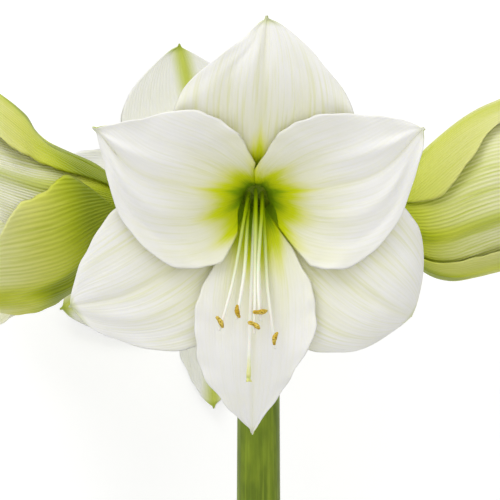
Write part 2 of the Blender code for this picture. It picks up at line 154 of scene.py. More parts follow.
# A tepal is a patch of the funnel: azimuth of the midrib in degrees (90 is up), length, half widths at
# eighths of the length (left is the side of the greater azimuth), "bend" of the midrib at quarters
# of it, "reach", the azimuths that its margins stay within, and the mm of the "nib" at its tip.
# Relief, in mm: "pleats" are (place across, width, height, from, to), "highRim" and "lowRim" how far
# the margin on the side of the greater or smaller azimuth stands forward at quarters of the length,
# "curl" how far the end bends back, "ruffle" (height, waves, phase).
commonTepal = {
    "pleats": [(0.3, 0.15, 0.8, 0.35, 0.95), (-0.32, 0.14, 0.7, 0.4, 0.95), (0, 0.1, -0.8, 0.3, 1)],
    "ruffle": (0.8, 2.7, 0.3), "highRim": (0, 0), "lowRim": (0, 0), "bend": (0, 0),
    "curl": 0, "nib": 1.6,
}


def petal(azimuth, length, left, right=None, **more):
    # one side's half widths do for both where they are alike
    return {**commonTepal, "azimuth": azimuth, "length": length, "left": left, "right": right or left,
            "reach": (azimuth - 60, azimuth + 60), **more}


frontFlower = {
    "rim": (-1.4, 25, 66),
    "facing": (0, -math.sin(math.radians(12)), math.cos(math.radians(12))),
    **openFlower, "columns": 72, "rows": 110,
    "outer": [
        petal(87, 107, (4, 7, 13, 22, 33, 42, 41, 19.5, 5), (4, 7, 13, 22, 33, 44, 46, 29, 13),
              pleats=[(0, 0.05, -0.6, 0.3, 1), (0.16, 0.08, 0.7, 0.35, 0.95),
                      (-0.2, 0.09, 0.6, 0.4, 0.95), (0.4, 0.09, -0.7, 0.5, 0.95),
                      (-0.45, 0.12, -0.6, 0.5, 0.9)],
              reach=(29, 147), highRim=(0, 0, 0, -3, 0), lowRim=(0, 0, 0, -2, 0),
              ruffle=(1.3, 3.2, 0.1)),
        petal(331, 107, (4, 8, 14, 24, 33, 42, 46, 43, 30), (4, 8, 14, 24, 34, 41, 41, 35, 22),
              pleats=[(0, 0.08, -0.5, 0.3, 0.9), (0.35, 0.12, 0.7, 0.4, 0.95)],
              reach=(269, 389), highRim=(0, 0, -2, -9, -8), lowRim=(0, 0, 0, -2, -4),
              ruffle=(0.9, 2.3, 0.4), bend=(0, -1, -4, -8, -9), curl=9, nib=0.5),
        petal(207, 113, (4, 8, 14, 24, 36, 42, 40.5, 31.5, 22), (4, 8, 14, 24, 34, 42, 36.5, 24.5, 8),
              pleats=[(0, 0.06, -0.7, 0.3, 1), (0.3, 0.12, 0.8, 0.45, 0.95),
                      (-0.3, 0.15, 0.6, 0.4, 0.9)],
              reach=(147, 269), highRim=(0, 0, 0, -1, 0), lowRim=(0, 0, -1, -2, 0),
              ruffle=(1, 2.6, 0.7), bend=(0, 1, 5, 6, 0)),
    ],
    "inner": [
        petal(28, 101, (6.6, 12.4, 20.8, 27.5, 35, 39.5, 35.5, 22, 10),
              (4, 9, 21, 31, 40.5, 42, 33, 18, 9),
              pleats=[(0, 0.07, -1.2, 0.4, 1), (0.3, 0.1, 1.5, 0.45, 0.98),
                      (-0.35, 0.1, 1.5, 0.35, 0.9), (-0.65, 0.09, -1, 0.4, 0.85)],
              reach=(-45, 93), highRim=(0, 1.8, 1, 1, 1), lowRim=(0, 1, 2, 1, 0),
              ruffle=(1, 2.4, 0.2), bend=(0, -1, -5, -8, 0)),
        petal(269, 120, (4, 9, 16, 22.5, 29, 29.5, 20, 10.5, 3),
              (4, 9, 16, 20, 27, 28.5, 25.5, 15.5, 3), pleats=[(0, 0.1, -0.7, 0.45, 1)],
              reach=(231, 314), highRim=(0, 0, 1, 1, 0), lowRim=(0, 0, 1, 1, 0),
              ruffle=(0.8, 3.6, 0.5)),
        petal(151, 99, (4, 9, 23, 36, 42, 40.5, 28.5, 13, 2),
              (6.6, 12.4, 20.6, 27.5, 36, 41.5, 37.5, 20, 5),
              pleats=[(0.06, 0.09, -1.9, 0.4, 1), (-0.2, 0.09, 1.5, 0.5, 1),
                      (0.32, 0.11, 1.7, 0.35, 0.9), (0.62, 0.09, -1.1, 0.4, 0.85)],
              reach=(90, 237), highRim=(0, 3, 4, 1, 0), lowRim=(0, 0.3, 1, 1, 1),
              ruffle=(1, 2.8, 0.9), bend=(0, 1, 5, 8, 0)),
    ],
    # right, up and forward of the rim, and how the anther leans in degrees
    "anthers": [(-16.2, -47.2, 54, 120), (-0.7, -47.3, 59, -30), (1.6, -42, 57, 8),
                (8.4, -54.2, 57, 76), (2.2, -43.5, 51, 8), (-8.6, -42, 56, 100)],
    "stigma": (-3.4, -73.5, 54),
}
halfOpen = (4, 8, 15, 24, 31, 33, 29, 17, 2)
halfOpenInner = (4, 8, 14, 22, 27, 28, 23, 13, 2)
sideFlower = {
    "layer": 2.8, "columns": 60, "rows": 84, "stigma": (1, -28, 68),
    "anthers": [(-11, -16, 52, 60), (-4, -9, 56, 10), (5, -9, 55, 120), (12, -15, 51, 80),
                (6, -22, 57, 30), (-5, -23, 54, 150)],
}
leftFlower = {
    **sideFlower, "rim": (-60, 21, 0), "facing": (-1, -0.02, 0.05),
    "funnel": [(6, 0), (12, 9), (22, 20), (33, 33), (42, 47), (50, 60), (57, 73), (64, 85), (74, 96)],
    "sag": 9, "centre": (0, 0, 0, 0, 0, 1.5, 3.5, 4, 4),
    "outer": [
        petal(80, 114, (4, 10, 19, 28, 33, 34, 29, 17, 2), (4, 10, 19, 29, 34.5, 40.5, 40, 24, 4),
              pleats=[(0.1, 0.55, 6, 0.17, 0.5), (0, 0.6, -3, 0.35, 0.9),
                      (-0.35, 0.06, 1.2, 0.05, 0.45)],
              reach=(29.5, 140), lowRim=(0, 0, -1, -2, 0)),
        petal(-40, 114, (4, 16, 36, 51, 50, 50, 38, 21, 2), (4, 4, 7, 15, 21, 21, 17, 8, 2),
              pleats=[(0, 0.12, 1.6, 0.02, 0.75), (0.45, 0.2, -0.8, 0.2, 0.8)],
              reach=(-100, 29), highRim=(0, 0, -3, -3, 0), bend=(0, -10, -15, -13, 0)),
        petal(200, 114, halfOpen),
    ],
    "inner": [
        petal(15, 110, halfOpenInner), petal(260, 110, halfOpenInner),
        petal(150, 110, halfOpenInner, (4, 8, 12, 16, 20, 24, 22, 13, 2)),
    ],
}
rightFlower = {
    **sideFlower, "rim": (58, 20, 0), "facing": (0.98, 0.19, 0.03),
    "funnel": [(6, 0), (12, 7), (20, 14.5), (26.5, 22), (31.5, 31), (35, 41.5), (37, 53), (38.5, 66),
               (43, 80), (50, 92), (58, 104)],
    "sag": 4, "centre": (0, -5.5, -8, -6.6, -3, -0.5, 0, 0, 0),
    "outer": [
        petal(110, 112, (4, 12, 24, 33, 29, 19, 17, 12, 2), halfOpenInner, reach=(60, 172),
              highRim=(0, 0, -2, -4, -4)),
        petal(250, 112, (4, 9, 19, 26, 26, 25, 22, 13, 2), (4, 5, 9, 12, 13, 14, 13, 9, 2),
              reach=(198, 300)),
        petal(0, 112, halfOpenInner),
    ],
    "inner": [
        petal(203, 110, (4, 12, 22, 30, 35.5, 37, 31, 15, 2), (4, 13, 23, 35, 43.5, 46.5, 43.5, 30, 2),
              reach=(122, 263)),
        petal(302, 110, halfOpen, reach=(264, 362)), petal(57, 110, halfOpen),
    ],
}
wideOpen = (4, 8, 15, 25, 35, 38, 35, 20, 3)
wideOpenInner = (4, 8, 15, 25, 33, 34, 29, 16, 3)
rearFlower = {
    "rim": plant["rearRim"],
    "facing": (0, -math.sin(lyingAngle), -math.cos(lyingAngle)),
    **openFlower, "columns": 44, "rows": 64, "liesOnFace": True,
    "outer": [petal(78, 114, wideOpen, (4, 8, 16, 28, 38, 42, 43, 36, 14)),
              petal(330, 110, wideOpen, (4, 8, 15, 25, 35, 40, 38, 30, 14)),
              petal(205, 106, wideOpen)],
    "inner": [petal(14, 112, (4, 8, 15, 25, 31, 30, 26, 23, 9), wideOpenInner, reach=(-42, 70)),
              petal(271, 114, (4, 8, 15, 25, 28, 24, 19, 14, 6), wideOpenInner, reach=(211, 317)),
              petal(150, 104, wideOpenInner)],
    "anthers": [(-14, -22, 41, 10), (-3, -24, 42.5, 80), (5, -22, 41.5, 30),
                (14, -21, 41, 100), (9, -29, 42.5, 60), (-9, -29, 42, 140)],
    "stigma": (0.5, -40, 44),
}
flowers = {"front": frontFlower, "right": rightFlower, "rear": rearFlower, "left": leftFlower}


def flowerAxes(flower):
    # right, up and facing, each of length 1
    facing = np.array(flower["facing"], float)
    facing /= np.linalg.norm(facing)
    up = np.array([0, 1, 0]) - facing[1] * facing
    up /= np.linalg.norm(up)
    return np.array([np.cross(up, facing), up, facing])


def inFlower(flower, places):
    # rim + right a + up b + facing c
    return np.array(flower["rim"], float) + np.asarray(places, float) @ flowerAxes(flower)


def tepalRelief(tepal, side, blade, fromMidrib):
    # mm towards the flower's axis: a groove on the midrib, lengthwise pleats (hills in "side" with a
    # window along the blade), margins that stand forward with |side|^3, ruffles that grow with
    # |side|^4, and a low swell made of two sines
    relief = -petalShape["groove"] * hill(fromMidrib, 0, petalShape["grooveWidth"])
    relief = relief * softStep(blade, 0.05, 0.3) * (1 - softStep(blade, 0.85, 1))
    for middle, width, height, start, end in tepal["pleats"]:
        window = softStep(blade, start, start + 0.25) * (1 - softStep(blade, end - 0.12, end + 0.02))
        relief = relief + height * hill(side, middle, width) * window
    lowRim, highRim = (smoothThrough(tepal[key], blade) for key in ("lowRim", "highRim"))
    relief = relief + np.where(side > 0, highRim, lowRim) * np.abs(side) ** 3
    height, waves, phase = tepal["ruffle"]
    turn = 2 * math.pi * (waves * blade + phase) + 1.7 * np.sign(side)
    ruffle = np.sin(turn) + 0.5 * np.sin(2.3 * turn + 1)
    ruffle = height * ruffle + petalShape["crinkle"] * np.sin(3.4 * turn + 2 * side)
    relief = relief + ruffle * np.abs(side) ** 4 * softStep(blade, 0.3, 0.6)
    swell = np.sin(9 * side + 5 * blade + 7 * phase) * np.sin(7 * blade + 3 * side + 4 * phase)
    return relief + petalShape["swell"] * swell * softStep(blade, 0.25, 0.6)


def tepalMiddle(flower, tepal, layer):
    # Middle of the tepal: rim + radius cos(azimuth) right + radius sin(azimuth) up + height facing,
    # with the funnel's radius and height at the distance from the tube. The outline's waves fade
    # inwards with side^6.
    # Veins keep their azimuth near the tube and draw together at the tip: a vein is the mm from the
    # midrib times hypot(a, b) / (a b), with a = veinSpread radius, b = widest sqrt(1 - veinNarrowing
    # blade^3).
    # Returns the points and three pairs: (mm from the midrib, mm from the tube), (vein, share of
    # length) and (side from -1 to 1, how high round the flower from -1 to 1).
    share = 1 - (1 - np.linspace(0, 1, flower["rows"])[:, None]) ** petalShape["rowCrowding"]
    side = np.linspace(-1, 1, flower["columns"])[None, :]
    length, root, nib = tepal["length"], petalShape["root"], tepal["nib"]
    distance = -root + share * (length + root + nib)
    blade = np.clip(distance / length, 0, 1)
    place, slope = alongLine(flower["funnel"], distance[:, 0])
    radius, height = place.T[..., None]
    taper = np.sqrt(np.clip(1 - blade ** petalShape["bluntness"], 0, 1))
    nibPart = ramp(distance, length - nib, length + nib)
    nibWidth = np.where(nibPart > 0, petalShape["nibWidth"] * np.sqrt(1 - nibPart ** 2), 0)
    midrib = math.radians(tepal["azimuth"]) + smoothThrough(tepal["bend"], blade) / radius
    first, firstWaves, second, secondWaves = petalShape["edge"]
    turn = 2 * math.pi * blade
    halves = []
    for key, phase, limit in zip(("right", "left"), (2.4, 0), np.radians(tepal["reach"])):
        wave = first * np.sin(firstWaves * turn + phase + tepal["azimuth"])
        wave = (wave + second * np.sin(secondWaves * turn + 2 * phase)) * softStep(blade, 0.3, 0.6)
        width = smoothThrough(tepal[key], blade)
        room = np.abs(limit - midrib) * radius - petalShape["gap"]
        halves.append([np.minimum(np.maximum(mm * taper, nibWidth), room)
                       for mm in (width, width + wave)])
    plain, waved = (np.where(side < 0, low, high) for low, high in zip(*halves))
    fromMidrib = side * (plain + side ** 6 * (waved - plain))
    azimuth = midrib + fromMidrib / radius
    spread = petalShape["veinSpread"] * radius
    widest = max(tepal["left"] + tepal["right"])
    narrowing = widest * np.sqrt(1 - petalShape["veinNarrowing"] * blade ** 3)
    drawn = np.hypot(spread, narrowing) / (spread * narrowing)
    lean = flower["sag"] * ramp(distance, *petalShape["sagSpan"]) * np.sin(azimuth)
    centre = smoothThrough(flower.get("centre", (0, 0)), blade)
    start = petalShape["layerAtTube"]
    depth = -layer * (start + (1 - start) * ramp(distance, 0, petalShape["layerFull"]))
    depth = depth - tepal["curl"] * ramp(blade, petalShape["curlFrom"], 1) ** 2
    relief = tepalRelief(tepal, side, blade, fromMidrib)
    if flower.get("liesOnFace"):
        # the surface under it keeps the relief from standing forward
        relief = np.minimum(relief, 0)
    lift = depth + relief
    radius = radius - slope[:, 1:] * lift
    height = height + slope[:, :1] * lift + lean
    places = joined(radius * np.cos(azimuth), radius * np.sin(azimuth) + centre, height)
    pairs = (fromMidrib, distance), (fromMidrib * drawn, distance / length), (side, np.sin(azimuth))
    return inFlower(flower, places), [joined(*pair) for pair in pairs]


def addObject(name, data):
    thing = bpy.data.objects.new(name, data)
    bpy.context.scene.collection.objects.link(thing)
    return thing


def addPiece(name, node, shapes, materials, uvNames):
    # one mesh from several closed shapes: points in the plant's millimetres, faces, a pair of numbers
    # per point for each uv map, and each face's material; points within 2 micrometres are merged
    starts = np.cumsum([0] + [len(shape["points"]) for shape in shapes])
    points = np.concatenate([shape["points"] for shape in shapes])
    faces = np.concatenate([shape["faces"] + start for shape, start in zip(shapes, starts)])
    mesh = bpy.data.meshes.new(name)
    mesh.from_pydata(laidDown(points), [], faces.tolist())
    corners = np.empty(len(mesh.loops), np.int32)
    mesh.loops.foreach_get("vertex_index", corners)
    for k, uvName in enumerate(uvNames):
        pairs = np.concatenate([shape["uv"][k] for shape in shapes])[corners].astype(np.float32)
        mesh.uv_layers.new(name=uvName).uv.foreach_set("vector", pairs.ravel())
    for material in materials:
        mesh.materials.append(material)
    slots = np.concatenate([shape["slots"] for shape in shapes]).astype(np.int32)
    mesh.polygons.foreach_set("material_index", slots)
    closing = bmesh.new()
    closing.from_mesh(mesh)
    bmesh.ops.remove_doubles(closing, verts=closing.verts, dist=0.000002)
    closing.to_mesh(mesh)
    closing.free()
    mesh.shade_smooth()
    piece = addObject(name, mesh)
    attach(piece, "root")
    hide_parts(node)


def quadsOf(index):
    # the four corners of each cell of a grid of point numbers, row steps first
    cells = np.stack([index[:-1, :-1], index[1:, :-1], index[1:, 1:], index[:-1, 1:]], -1)
    return cells.reshape(-1, 4)


def sheetShape(points, thickness, uvs):
    # Two copies of a sheet, each half the thickness from it, that share the points of their margin.
    # Its normal is the cross product of its steps along and across.
    rows, columns = points.shape[:2]
    normals = unitRows(np.cross(np.gradient(points, axis=0), np.gradient(points, axis=1)))
    normals[-1] = normals[-2, columns // 2]
    inner = np.zeros((rows, columns), bool)
    inner[1:-1, 1:-1] = True
    half = np.where(inner, thickness / 2, 0)[..., None] * normals
    front = np.arange(rows * columns).reshape(rows, columns)
    back = np.where(inner, front + rows * columns, front)
    faces = np.concatenate([quadsOf(front), quadsOf(back)[:, ::-1]])
    used, faces = np.unique(faces, return_inverse=True)
    both = np.concatenate([(points + half).reshape(-1, 3), (points - half).reshape(-1, 3)])[used]
    pairs = [np.concatenate([uv.reshape(-1, 2)] * 2)[used] for uv in uvs]
    slots = np.repeat([0, 1], (rows - 1) * (columns - 1))
    return {"points": both, "faces": faces.reshape(-1, 4), "uv": pairs, "slots": slots}


def tubeShape(line, radii, sides, slot=0, swell=None):
    # Rings at line + radius (cos a across + sin a aside), closed to a point at both ends. Across is
    # the axis that the line follows least, less its part along the line.
    # swell(share, a) multiplies the radius. uv: turns round, share of the length.
    along = unitRows(np.gradient(line, axis=0))
    least = np.eye(3)[np.argmin(np.abs(along).max(axis=0))]
    across = unitRows(least - (along @ least)[:, None] * along)
    aside = np.cross(along, across)
    angle = np.linspace(0, 2 * math.pi, sides + 1)[None, :]
    share = np.linspace(0, 1, len(line))[:, None]
    radius = np.asarray(radii)[:, None] * (1 if swell is None else swell(share, angle)) + 0 * angle
    ring = np.cos(angle)[..., None] * across[:, None] + np.sin(angle)[..., None] * aside[:, None]
    rings = line[:, None] + radius[..., None] * ring
    ends = [np.repeat(line[k:k + 1, None], sides + 1, 1) for k in (0, len(line) - 1)]
    points = np.concatenate([ends[0], rings, ends[1]])
    share = np.concatenate([[[0]], share, [[1]]])
    uv = joined(angle / (2 * math.pi), share)
    faces = quadsOf(np.arange(points.shape[0] * (sides + 1)).reshape(-1, sides + 1))[:, ::-1]
    return {"points": points.reshape(-1, 3), "faces": faces, "uv": [uv.reshape(-1, 2)],
            "slots": np.full(len(faces), slot)}


def linearColour(hexCode):
    # sRGB hex to linear: ((c + 0.055) / 1.055)^2.4, or c / 12.92 near black
    values = np.array([int(hexCode[k:k + 2], 16) for k in (1, 3, 5)]) / 255
    return (*np.where(values > 0.04045, ((values + 0.055) / 1.055) ** 2.4, values / 12.92), 1.0)


def addNode(tree, kind, sockets=None, **settings):
    # one node's outputs; its sockets, by number or name, take numbers, colours, hex codes or outputs
    node = tree.nodes.new(kind)
    for key, value in settings.items():
        setattr(node, key, value)
    for key, value in (sockets or {}).items():
        if isinstance(value, bpy.types.NodeSocket):
            tree.links.new(value, node.inputs[key])
        else:
            node.inputs[key].default_value = linearColour(value) if isinstance(value, str) else value
    return node.outputs


def calculate(tree, operation, *values):
    return addNode(tree, "ShaderNodeMath", dict(enumerate(values)), operation=operation)[0]


def product(tree, first, second):
    return calculate(tree, "MULTIPLY", first, second)


def scaled(tree, value, factor, offset):
    # value * factor + offset
    return calculate(tree, "MULTIPLY_ADD", value, factor, offset)


def oneMinus(tree, value):
    return calculate(tree, "SUBTRACT", 1, value)


def rise(tree, value, low, high):
    # 0 at low to 1 at high, eased
    sockets = {"Value": value, "From Min": low, "From Max": high}
    return addNode(tree, "ShaderNodeMapRange", sockets, interpolation_type="SMOOTHSTEP")[0]


def blend(tree, share, first, second):
    # from the first colour at share 0 to the second at share 1
    return addNode(tree, "ShaderNodeMix", {0: share, 6: first, 7: second}, data_type="RGBA")[2]


def noise(tree, place, scale, detail=3, stretch=(1, 1, 1), seed=0):
    # soft random field; stretch multiplies the place
    sockets = {"Vector": place, "Scale": stretch, "Location": (seed, seed, seed)}
    moved = addNode(tree, "ShaderNodeMapping", sockets)[0]
    sockets = {"Vector": moved, "Scale": scale, "Detail": detail, "Roughness": 0.55}
    return addNode(tree, "ShaderNodeTexNoise", sockets)[0]


def newMaterial(name, finish):
    # "subsurface" of the light goes into the tissue, about "depth" metres
    material = bpy.data.materials.new(name)
    material.use_nodes = True
    shader = material.node_tree.nodes["Principled BSDF"]
    for socket, key in (("Roughness", "roughness"), ("Specular IOR Level", "specular"),
                        ("Subsurface Weight", "subsurface"), ("Subsurface Scale", "depth")):
        if key in finish:
            shader.inputs[socket].default_value = finish[key]
    return material, material.node_tree, shader


def uvParts(tree, uvName):
    # a uv map, and its two numbers
    uv = addNode(tree, "ShaderNodeUVMap", uv_map=uvName)[0]
    return uv, *addNode(tree, "ShaderNodeSeparateXYZ", {0: uv})[:2]


def finishMaterial(tree, shader, colour, height, strength, distance):
    # the colour, and a bump from the height, so many metres deep
    tree.links.new(colour, shader.inputs["Base Color"])
    sockets = {"Height": height, "Strength": strength, "Distance": distance}
    tree.links.new(addNode(tree, "ShaderNodeBump", sockets)[0], shader.inputs["Normal"])


# Fresh petal, grown: water-filled cells under a thin waxy skin. Light passes into it, so its shadows
# stay soft and a little yellow, and the skin gives a broad, weak shine that breaks on the veins.
petalFinish = {
    "roughness": 0.48, "specular": 0.22,
    "subsurface": 0.2, "depth": 0.003, "depthByColour": (1, 0.95, 0.55),
    "veinCount": 24, "veinStrength": 0.55, "veinHeight": 0.0003, "bump": 0.7,
    "ribCount": 15,  # from the midrib to a margin, a rib about every 2 mm
    "rays": 10.6,  # a ray about every 39 degrees from the midrib
    "broadShift": 13, "fineShift": 8,  # mm by which the veins move the colours
    "patchStrength": 0.3, "marginFrom": 0.72, "tipFrom": 0.965,
    "top": (0.6, 0.98), "bottom": (-0.99, -0.86),  # how high round the flower, from -1 to 1
}
# The tones on the way out from the tube: each colour, and where it starts to give way and is gone, in
# mm. "rayReach", "lowGreenAndShade" and the midrib's reach draw them out and "paleTop" holds them
# back, by so many mm. "lowGreenAndShade" draws the greens out on the flower's low side: partly the low
# tepals' own green and partly painted shade, most of all on the outsides of the green and pale
# flowers. Veins: colour,
# reach. Midrib: colour, share, width, reach. Tip: colour, share.
whiteInside = {
    "deep": ("#98ba00", 6, 23), "throat": ("#d8e200", 24, 34), "stain": ("#e6e68c", 29, 43),
    "warm": ("#efeed6", 40, 70), "blade": "#f5f4ef", "veins": ("#dddf98", 80), "ribs": 0.16,
    "midrib": ("#e9e9c6", 0.35, 1.2, 5), "tip": ("#b9c25c", 0.15),
    "rayReach": 4.5, "paleTop": 4, "lowGreenAndShade": 9,
}
veinedInside = {
    **whiteInside, "warm": ("#ebead2", 38, 92), "veins": ("#dadc94", 130), "ribs": 0.2,
    "tip": ("#b4c23c", 0.5), "paleTop": 0,
}
whiteOutside = {
    **whiteInside, "throat": ("#a3b11c", 12, 24), "stain": ("#cfd26e", 20, 40),
    "warm": ("#efeed6", 40, 95), "ribs": 0.5,
    "midrib": ("#c0cb44", 0.95, 5, 5), "tip": ("#a3b534", 0.75), "rayReach": 0, "paleTop": 0,
}
greenInside = {
    "deep": ("#7a8c10", 2, 14), "throat": ("#a3b11c", 16, 32), "stain": ("#c3cb50", 28, 56),
    "warm": ("#dfe0a8", 54, 100), "blade": "#ecebd2", "veins": ("#c1c860", 130), "ribs": 0.6,
    "midrib": ("#cdd284", 0.5, 1.6, 9), "tip": ("#b9c25c", 0.5),
    "rayReach": 0, "paleTop": 0, "lowGreenAndShade": 0,
}
# the olive "deep" tone, out to 42 mm, is partly the tube's own green and partly painted shade on the
# funnel's underside
greenOutside = {
    **greenInside,
    "deep": ("#7c8c00", 24, 42), "throat": ("#b4c010", 35, 50), "stain": ("#d2d850", 43, 62),
    "warm": ("#dfe070", 52, 86), "blade": "#e7e7a6", "veins": ("#b3be2c", 130), "ribs": 1,
    "midrib": ("#b9c41c", 0.8, 8, 30), "tip": ("#93a62c", 0.8), "lowGreenAndShade": 26,
}
creamOutside = {
    **greenOutside,
    "deep": ("#8c9c00", 6, 22), "throat": ("#b4c010", 16, 32), "stain": ("#cfd64e", 26, 46),
    "warm": ("#e6e7b4", 40, 66), "blade": "#f6f4e4", "veins": ("#c3cc3c", 130),
    "midrib": ("#a8b612", 0.55, 4, 14), "lowGreenAndShade": 0,
}
# its greens, drawn far out on the low side, are painted shade on the bottom tepal
paleOutside = {
    **greenOutside,
    "deep": ("#92a200", 4, 18), "throat": ("#b8c41c", 12, 32), "stain": ("#d3d860", 26, 54),
    "warm": ("#d9da84", 46, 100), "blade": "#dfdea6", "veins": ("#c2c94c", 130), "ribs": 0.7,
    "midrib": ("#b9c41c", 0.4, 8, 12), "lowGreenAndShade": 30,
}
ribbedOutside = {
    **creamOutside, "warm": ("#e2e592", 36, 84), "blade": "#f1efd0", "veins": ("#bcc736", 170),
    "midrib": ("#a8b612", 0.7, 4, 14),
}


def petalMaterial(name, tones, shift, seed):
    # Reads the uv maps "millimetres", "veins" and "rim". Green fades out with the distance from the
    # tube, which noise along the veins breaks up, and rays are the cosine of the vein.
    finish = petalFinish
    material, tree, shader = newMaterial(name, finish)
    shader.inputs["Subsurface Radius"].default_value = finish["depthByColour"]
    veinColour, veinReach = tones["veins"]
    midribColour, midribShare, midribWidth, midribReach = tones["midrib"]
    tipColour, tipShare = tones["tip"]
    place, across, distance = uvParts(tree, "millimetres")
    veins, vein, lengthwise = uvParts(tree, "veins")
    side, upper = uvParts(tree, "rim")[1:]
    fineVeins = noise(tree, veins, 1, 3, (finish["veinCount"], 3, 1), seed)
    broadVeins = noise(tree, veins, 1, 2, (5.5, 1, 1), seed + 9)
    patches = noise(tree, place, 0.045, 3, (1, 1, 1), seed + 4)
    fromMidrib = calculate(tree, "ABSOLUTE", across)
    ridge = oneMinus(tree, rise(tree, fromMidrib, 0, midribWidth * 1.6))
    ray = calculate(tree, "COSINE", product(tree, vein, finish["rays"]))
    # lowest is 1 on the flower's low side, where the greens are drawn out partly as painted shade
    lowest = oneMinus(tree, rise(tree, upper, *finish["bottom"]))

    # the distance that the colours go by: each of these times its mm is added to it
    ragged = calculate(tree, "SUBTRACT", distance, shift)
    for share, reach in ((calculate(tree, "SUBTRACT", broadVeins, 0.5), finish["broadShift"]),
                         (calculate(tree, "SUBTRACT", fineVeins, 0.5), finish["fineShift"]),
                         (ridge, -midribReach), (ray, -tones["rayReach"]),
                         (rise(tree, upper, *finish["top"]), tones["paleTop"]),
                         (lowest, -tones["lowGreenAndShade"])):
        ragged = scaled(tree, share, reach, ragged)

    colour = blend(tree, rise(tree, ragged, *tones["warm"][1:]), tones["warm"][0], tones["blade"])
    # veins fade towards the tip and the margins
    fade = oneMinus(tree, rise(tree, distance, veinReach * 0.35, veinReach))
    margin = rise(tree, calculate(tree, "ABSOLUTE", side), finish["marginFrom"], 1)
    fade = product(tree, fade, oneMinus(tree, margin))
    shown = scaled(tree, fade, 0.85, 0.15)
    veinShare = product(tree, rise(tree, fineVeins, 0.47, 0.68), finish["veinStrength"])
    colour = blend(tree, product(tree, veinShare, shown), colour, veinColour)
    patchShare = product(tree, rise(tree, patches, 0.5, 0.75), finish["patchStrength"])
    colour = blend(tree, patchShare, colour, tones["warm"][0])
    colour = blend(tree, product(tree, ridge, midribShare), colour, midribColour)
    for tone in ("stain", "throat", "deep"):
        shade, start, end = tones[tone]
        colour = blend(tree, rise(tree, ragged, start, end), shade, colour)
    tip = rise(tree, lengthwise, finish["tipFrom"], 1)
    colour = blend(tree, product(tree, tip, tipShare), colour, tipColour)

    # ribs: the cosine of their number times the vein, with the veins' colour in the valleys, partly
    # the veins' own green and partly painted shade between the ribs
    sway = scaled(tree, fineVeins, 1.5, product(tree, broadVeins, 5))
    wave = scaled(tree, vein, 2 * math.pi * finish["ribCount"], sway)
    rib = scaled(tree, calculate(tree, "COSINE", wave), 0.5, 0.5)
    ribValleyTintAndShade = product(tree, oneMinus(tree, rib), 0.45 * tones["ribs"])
    shown = scaled(tree, fade, 0.8, 0.2)
    colour = blend(tree, product(tree, ribValleyTintAndShade, shown), colour, veinColour)
    raised = product(tree, rib, tones["ribs"])
    relief = scaled(tree, fineVeins, 0.6, raised)
    finishMaterial(tree, shader, colour, relief, finish["bump"], finish["veinHeight"])
    return material


# Stalk, grown: smooth green skin, a little waxy, with faint lengthwise streaks.
stalkFinish = {
    "roughness": 0.42, "specular": 0.2, "subsurface": 0.08, "depth": 0.002,
    "streakShare": 0.5, "streakHeight": 0.0003,
}
scapeTones = {"light": "#93a630", "skin": "#788c1e", "dark": "#627618", "streaks": 7}
pedicelTones = {"light": "#b4c636", "skin": "#96ac1c", "dark": "#7e940e", "streaks": 5}
# Cut flesh: wet, pale and fibrous. The hollow inside is lined with white pith.
cutFinish = {
    "roughness": 0.3, "specular": 0.5, "fibres": 900, "fibreHeight": 0.0003,
    "flesh": "#c8d08c", "rim": "#9fae4e", "pith": "#d9dcb4",
}


def stalkMaterial(name, tones):
    # streaks, far longer than wide, from noise round the stalk, over broad patches
    material, tree, shader = newMaterial(name, stalkFinish)
    around, lengthwise = uvParts(tree, "round")[1:]
    # the uv turns into a circle, so that no seam shows where it closes
    angle = product(tree, around, 2 * math.pi)
    sockets = {0: calculate(tree, "COSINE", angle), 1: calculate(tree, "SINE", angle), 2: lengthwise}
    ring = addNode(tree, "ShaderNodeCombineXYZ", sockets)[0]
    streaks = noise(tree, ring, tones["streaks"], 4, (1, 1, 0.35))
    patches = noise(tree, ring, 1.6, 3, (1, 1, 3), 3)
    colour = blend(tree, rise(tree, patches, 0.35, 0.65), tones["dark"], tones["skin"])
    share = product(tree, rise(tree, streaks, 0.45, 0.7), stalkFinish["streakShare"])
    colour = blend(tree, share, colour, tones["light"])
    finishMaterial(tree, shader, colour, streaks, 0.4, stalkFinish["streakHeight"])
    return material


def objectPlace(tree):
    # the place on the piece, in metres
    return addNode(tree, "ShaderNodeTexCoord")["Object"]


def cutMaterial(name, pale, deep):
    # cut tissue: fine bundles of fibres seen end on, as small darker dots
    material, tree, shader = newMaterial(name, cutFinish)
    sockets = {"Vector": objectPlace(tree), "Scale": cutFinish["fibres"]}
    cells = addNode(tree, "ShaderNodeTexVoronoi", sockets)["Distance"]
    colour = blend(tree, rise(tree, cells, 0.1, 0.5), deep, pale)
    finishMaterial(tree, shader, colour, cells, 0.5, cutFinish["fibreHeight"])
    return material


# Filament and style, grown: slender, smooth, green where they leave the tube and white above.
# The filament's greyish end is painted shade on its thin upturned tip. The stigma's three short lobes
# are moist and finely hairy, and a little yellower.
filamentFinish = {
    "roughness": 0.4, "specular": 0.4, "subsurface": 0.15, "depth": 0.001,
    # "end" is a grey, the painted shade of the filament's tip
    "base": "#bace08", "shaft": "#f7f7ee", "end": "#c9ccb4", "stigma": "#dde078",
    "green": (0.42, 0.73), "endFrom": (0.93, 1.06),  # shares of the length
}
# Pollen: dry yellow dust that covers the open anther, so it doesn't shine.
pollenFinish = {
    "roughness": 0.85, "specular": 0.2, "grain": 1700, "grainHeight": 0.0004,
    "light": "#ead262", "middle": "#cfa92c", "dark": "#8f6a18",
}


